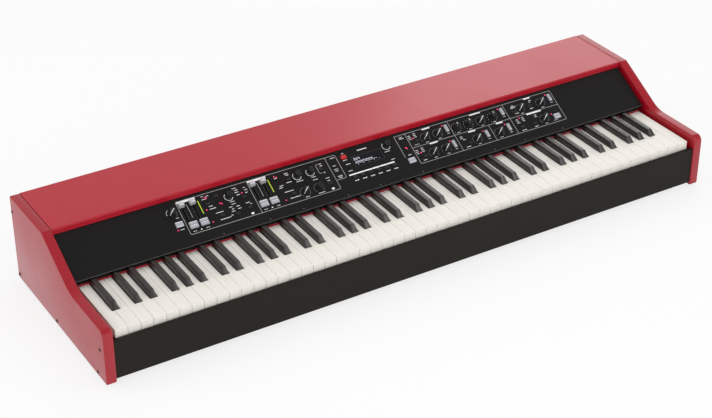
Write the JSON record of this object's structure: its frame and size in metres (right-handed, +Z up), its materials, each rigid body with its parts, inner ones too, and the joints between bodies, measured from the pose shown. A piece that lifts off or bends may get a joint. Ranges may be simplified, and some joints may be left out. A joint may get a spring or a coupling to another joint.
{
  "type": "stage piano",
  "caption": "Stage piano: red end cheeks and cover, sloping black control panel with knobs, faders and display, full-size keyboard, rear sockets.",
  "frame": {"origin": "centre of the bounding box's lower face, on the floor plane of the feet", "axes": "+X to the player's right along the keyboard, +Y to the rear, +Z up"},
  "size_m": [1.281, 0.3936, 0.1764],
  "materials": {
    "board_green": "circuit board",
    "cap_grey": "satin",
    "display_glass": "clear window over dark",
    "foot_rubber": "matt",
    "knob_black": "satin",
    "natural_white": "semi gloss",
    "panel_black": "satin",
    "rail_black": "satin",
    "red_felt": "felt",
    "red_lacquer": "gloss lacquer",
    "red_sheet": "semi gloss",
    "sharp_black": "fine lengthwise grain",
    "socket_black": "satin",
    "store_red": "satin",
    "zinc_steel": "zinc plated"
  },
  "bodies": {
    "case": {"bottom_pan": "rail_black", "connector_plate": "socket_black", "control_panel": "panel_black", "display_window": "display_glass", "felt_strip": "red_felt", "foot_front_left": "foot_rubber", "foot_front_right": "foot_rubber", "foot_rear_left": "foot_rubber", "foot_rear_right": "foot_rubber", "front_rail": "rail_black", "key_frame": "zinc_steel", "left_cheek": "red_lacquer", "main_board": "board_green", "natural_keys": "natural_white", "panel_board": "cap_grey", "power_inlet": "socket_black", "rear_panel": "red_sheet", "right_cheek": "red_lacquer", "sharp_keys": "sharp_black", "top_cover": "red_sheet"},
    "key_a_body": {"key_a": "natural_white"},
    "key_a_sharp_body": {"key_a_sharp": "sharp_black"},
    "key_b_body": {"key_b": "natural_white"},
    "key_c_body": {"key_c": "natural_white"},
    "key_c_sharp_body": {"key_c_sharp": "sharp_black"},
    "key_d_body": {"key_d": "natural_white"},
    "key_d_sharp_body": {"key_d_sharp": "sharp_black"},
    "key_e_body": {"key_e": "natural_white"},
    "key_f_body": {"key_f": "natural_white"},
    "key_f_sharp_body": {"key_f_sharp": "sharp_black"},
    "key_g_body": {"key_g": "natural_white"},
    "key_g_sharp_body": {"key_g_sharp": "sharp_black"},
    "effect_knob_1_body": {"effect_knob_1": "knob_black"},
    "effect_knob_10_body": {"effect_knob_10": "knob_black"},
    "effect_knob_11_body": {"effect_knob_11": "knob_black"},
    "effect_knob_12_body": {"effect_knob_12": "knob_black"},
    "effect_knob_13_body": {"effect_knob_13": "knob_black"},
    "effect_knob_2_body": {"effect_knob_2": "knob_black"},
    "effect_knob_3_body": {"effect_knob_3": "knob_black"},
    "effect_knob_4_body": {"effect_knob_4": "knob_black"},
    "effect_knob_5_body": {"effect_knob_5": "knob_black"},
    "effect_knob_6_body": {"effect_knob_6": "knob_black"},
    "effect_knob_7_body": {"effect_knob_7": "knob_black"},
    "effect_knob_8_body": {"effect_knob_8": "knob_black"},
    "effect_knob_9_body": {"effect_knob_9": "knob_black"},
    "level_knob_body": {"level_knob": "knob_black"},
    "program_dial_body": {"program_dial": "knob_black"},
    "sound_knob_1_body": {"sound_knob_1": "knob_black"},
    "sound_knob_2_body": {"sound_knob_2": "knob_black"},
    "sound_knob_3_body": {"sound_knob_3": "knob_black"},
    "sound_knob_4_body": {"sound_knob_4": "knob_black"},
    "sound_knob_5_body": {"sound_knob_5": "knob_black"},
    "fader_1_body": {"fader_1": "cap_grey"},
    "fader_2_body": {"fader_2": "cap_grey"},
    "fader_3_body": {"fader_3": "cap_grey"},
    "fader_4_body": {"fader_4": "cap_grey"},
    "level_button_body": {"level_button": "cap_grey"},
    "shift_button_body": {"shift_button": "cap_grey"},
    "store_button_body": {"store_button": "store_red"},
    "power_switch_body": {"power_switch": "socket_black"}
  },
  "joints": [
    {"name": "key_a_press", "type": "hinge", "parent": "case", "child": "key_a_body", "pos_m": [0.06069, 0.03815, 0.084], "axis": [1, 0, 0], "range_deg": [0, 2.6], "stiffness_Nm_per_rad": 0.5, "springref_deg": -22.92},
    {"name": "key_a_sharp_press", "type": "hinge", "parent": "case", "child": "key_a_sharp_body", "pos_m": [0.07417, 0.05015, 0.0852], "axis": [1, 0, 0], "range_deg": [0, 2.6], "stiffness_Nm_per_rad": 0.5, "springref_deg": -22.92},
    {"name": "key_b_press", "type": "hinge", "parent": "case", "child": "key_b_body", "pos_m": [0.08766, 0.03815, 0.084], "axis": [1, 0, 0], "range_deg": [0, 2.6], "stiffness_Nm_per_rad": 0.5, "springref_deg": -22.92},
    {"name": "key_c_press", "type": "hinge", "parent": "case", "child": "key_c_body", "pos_m": [-0.06372, 0.03815, 0.084], "axis": [1, 0, 0], "range_deg": [0, 2.6], "stiffness_Nm_per_rad": 0.5, "springref_deg": -22.92},
    {"name": "key_c_sharp_press", "type": "hinge", "parent": "case", "child": "key_c_sharp_body", "pos_m": [-0.04956, 0.05015, 0.0852], "axis": [1, 0, 0], "range_deg": [0, 2.6], "stiffness_Nm_per_rad": 0.5, "springref_deg": -22.92},
    {"name": "key_d_press", "type": "hinge", "parent": "case", "child": "key_d_body", "pos_m": [-0.0354, 0.03815, 0.084], "axis": [1, 0, 0], "range_deg": [0, 2.6], "stiffness_Nm_per_rad": 0.5, "springref_deg": -22.92},
    {"name": "key_d_sharp_press", "type": "hinge", "parent": "case", "child": "key_d_sharp_body", "pos_m": [-0.02124, 0.05015, 0.0852], "axis": [1, 0, 0], "range_deg": [0, 2.6], "stiffness_Nm_per_rad": 0.5, "springref_deg": -22.92},
    {"name": "key_e_press", "type": "hinge", "parent": "case", "child": "key_e_body", "pos_m": [-0.00708, 0.03815, 0.084], "axis": [1, 0, 0], "range_deg": [0, 2.6], "stiffness_Nm_per_rad": 0.5, "springref_deg": -22.92},
    {"name": "key_f_press", "type": "hinge", "parent": "case", "child": "key_f_body", "pos_m": [0.00674, 0.03815, 0.084], "axis": [1, 0, 0], "range_deg": [0, 2.6], "stiffness_Nm_per_rad": 0.5, "springref_deg": -22.92},
    {"name": "key_f_sharp_press", "type": "hinge", "parent": "case", "child": "key_f_sharp_body", "pos_m": [0.02023, 0.05015, 0.0852], "axis": [1, 0, 0], "range_deg": [0, 2.6], "stiffness_Nm_per_rad": 0.5, "springref_deg": -22.92},
    {"name": "key_g_press", "type": "hinge", "parent": "case", "child": "key_g_body", "pos_m": [0.03371, 0.03815, 0.084], "axis": [1, 0, 0], "range_deg": [0, 2.6], "stiffness_Nm_per_rad": 0.5, "springref_deg": -22.92},
    {"name": "key_g_sharp_press", "type": "hinge", "parent": "case", "child": "key_g_sharp_body", "pos_m": [0.0472, 0.05015, 0.0852], "axis": [1, 0, 0], "range_deg": [0, 2.6], "stiffness_Nm_per_rad": 0.5, "springref_deg": -22.92},
    {"name": "effect_knob_1_turn", "type": "hinge", "parent": "case", "child": "effect_knob_1_body", "pos_m": [0.132, 0.02241, 0.1513], "axis": [0, -0.503, 0.8643], "range_deg": [-270, 0]},
    {"name": "effect_knob_10_turn", "type": "hinge", "parent": "case", "child": "effect_knob_10_body", "pos_m": [0.1608, -0.00879, 0.13315], "axis": [0, -0.503, 0.8643], "range_deg": [-270, 0]},
    {"name": "effect_knob_11_turn", "type": "hinge", "parent": "case", "child": "effect_knob_11_body", "pos_m": [0.2334, -0.00879, 0.13315], "axis": [0, -0.503, 0.8643], "range_deg": [-270, 0]},
    {"name": "effect_knob_12_turn", "type": "hinge", "parent": "case", "child": "effect_knob_12_body", "pos_m": [0.285, -0.00879, 0.13315], "axis": [0, -0.503, 0.8643], "range_deg": [-270, 0]},
    {"name": "effect_knob_13_turn", "type": "hinge", "parent": "case", "child": "effect_knob_13_body", "pos_m": [0.3934, -0.00879, 0.13315], "axis": [0, -0.503, 0.8643], "range_deg": [-270, 0]},
    {"name": "effect_knob_2_turn", "type": "hinge", "parent": "case", "child": "effect_knob_2_body", "pos_m": [0.1608, 0.02241, 0.1513], "axis": [0, -0.503, 0.8643], "range_deg": [-270, 0]},
    {"name": "effect_knob_3_turn", "type": "hinge", "parent": "case", "child": "effect_knob_3_body", "pos_m": [0.204, 0.02241, 0.1513], "axis": [0, -0.503, 0.8643], "range_deg": [-135, 135]},
    {"name": "effect_knob_4_turn", "type": "hinge", "parent": "case", "child": "effect_knob_4_body", "pos_m": [0.2323, 0.02241, 0.1513], "axis": [0, -0.503, 0.8643], "range_deg": [-135, 135]},
    {"name": "effect_knob_5_turn", "type": "hinge", "parent": "case", "child": "effect_knob_5_body", "pos_m": [0.2606, 0.02241, 0.1513], "axis": [0, -0.503, 0.8643], "range_deg": [-270, 0]},
    {"name": "effect_knob_6_turn", "type": "hinge", "parent": "case", "child": "effect_knob_6_body", "pos_m": [0.289, 0.02241, 0.1513], "axis": [0, -0.503, 0.8643], "range_deg": [-135, 135]},
    {"name": "effect_knob_7_turn", "type": "hinge", "parent": "case", "child": "effect_knob_7_body", "pos_m": [0.356, 0.02241, 0.1513], "axis": [0, -0.503, 0.8643], "range_deg": [-270, 0]},
    {"name": "effect_knob_8_turn", "type": "hinge", "parent": "case", "child": "effect_knob_8_body", "pos_m": [0.4057, 0.02241, 0.1513], "axis": [0, -0.503, 0.8643], "range_deg": [-270, 0]},
    {"name": "effect_knob_9_turn", "type": "hinge", "parent": "case", "child": "effect_knob_9_body", "pos_m": [0.132, -0.00879, 0.13315], "axis": [0, -0.503, 0.8643], "range_deg": [-270, 0]},
    {"name": "level_knob_turn", "type": "hinge", "parent": "case", "child": "level_knob_body", "pos_m": [-0.405, 0.02241, 0.1513], "axis": [0, -0.503, 0.8643], "range_deg": [-270, 0]},
    {"name": "program_dial_turn", "type": "hinge", "parent": "case", "child": "program_dial_body", "pos_m": [0.047, 0.02803, 0.15457], "axis": [0, -0.503, 0.8643], "continuous": true},
    {"name": "sound_knob_1_turn", "type": "hinge", "parent": "case", "child": "sound_knob_1_body", "pos_m": [-0.2916, 0.02241, 0.1513], "axis": [0, -0.503, 0.8643], "range_deg": [-270, 0]},
    {"name": "sound_knob_2_turn", "type": "hinge", "parent": "case", "child": "sound_knob_2_body", "pos_m": [-0.15, 0.02241, 0.1513], "axis": [0, -0.503, 0.8643], "range_deg": [-270, 0]},
    {"name": "sound_knob_3_turn", "type": "hinge", "parent": "case", "child": "sound_knob_3_body", "pos_m": [-0.122, 0.02241, 0.1513], "axis": [0, -0.503, 0.8643], "range_deg": [-270, 0]},
    {"name": "sound_knob_4_turn", "type": "hinge", "parent": "case", "child": "sound_knob_4_body", "pos_m": [-0.15, -0.00879, 0.13315], "axis": [0, -0.503, 0.8643], "range_deg": [-270, 0]},
    {"name": "sound_knob_5_turn", "type": "hinge", "parent": "case", "child": "sound_knob_5_body", "pos_m": [-0.121, -0.00879, 0.13315], "axis": [0, -0.503, 0.8643], "range_deg": [-270, 0]},
    {"name": "fader_1_slide", "type": "slide", "parent": "case", "child": "fader_1_body", "axis": [0, 0.8643, 0.503], "range_m": [-0.03, 0]},
    {"name": "fader_2_slide", "type": "slide", "parent": "case", "child": "fader_2_body", "axis": [0, 0.8643, 0.503], "range_m": [-0.03, 0]},
    {"name": "fader_3_slide", "type": "slide", "parent": "case", "child": "fader_3_body", "axis": [0, 0.8643, 0.503], "range_m": [-0.03, 0]},
    {"name": "fader_4_slide", "type": "slide", "parent": "case", "child": "fader_4_body", "axis": [0, 0.8643, 0.503], "range_m": [-0.03, 0]},
    {"name": "level_button_press", "type": "slide", "parent": "case", "child": "level_button_body", "axis": [0, 0.503, -0.8643], "range_m": [0, 0.001], "stiffness_N_per_m": 400, "springref_m": -0.0015},
    {"name": "shift_button_press", "type": "slide", "parent": "case", "child": "shift_button_body", "axis": [0, 0.503, -0.8643], "range_m": [0, 0.001], "stiffness_N_per_m": 400, "springref_m": -0.0015},
    {"name": "store_button_press", "type": "slide", "parent": "case", "child": "store_button_body", "axis": [0, 0.503, -0.8643], "range_m": [0, 0.001], "stiffness_N_per_m": 400, "springref_m": -0.0015},
    {"name": "power_switch_rock", "type": "hinge", "parent": "case", "child": "power_switch_body", "pos_m": [0.486, 0.19155, 0.051], "axis": [1, 0, 0], "range_deg": [-14, 0]}
  ]
}
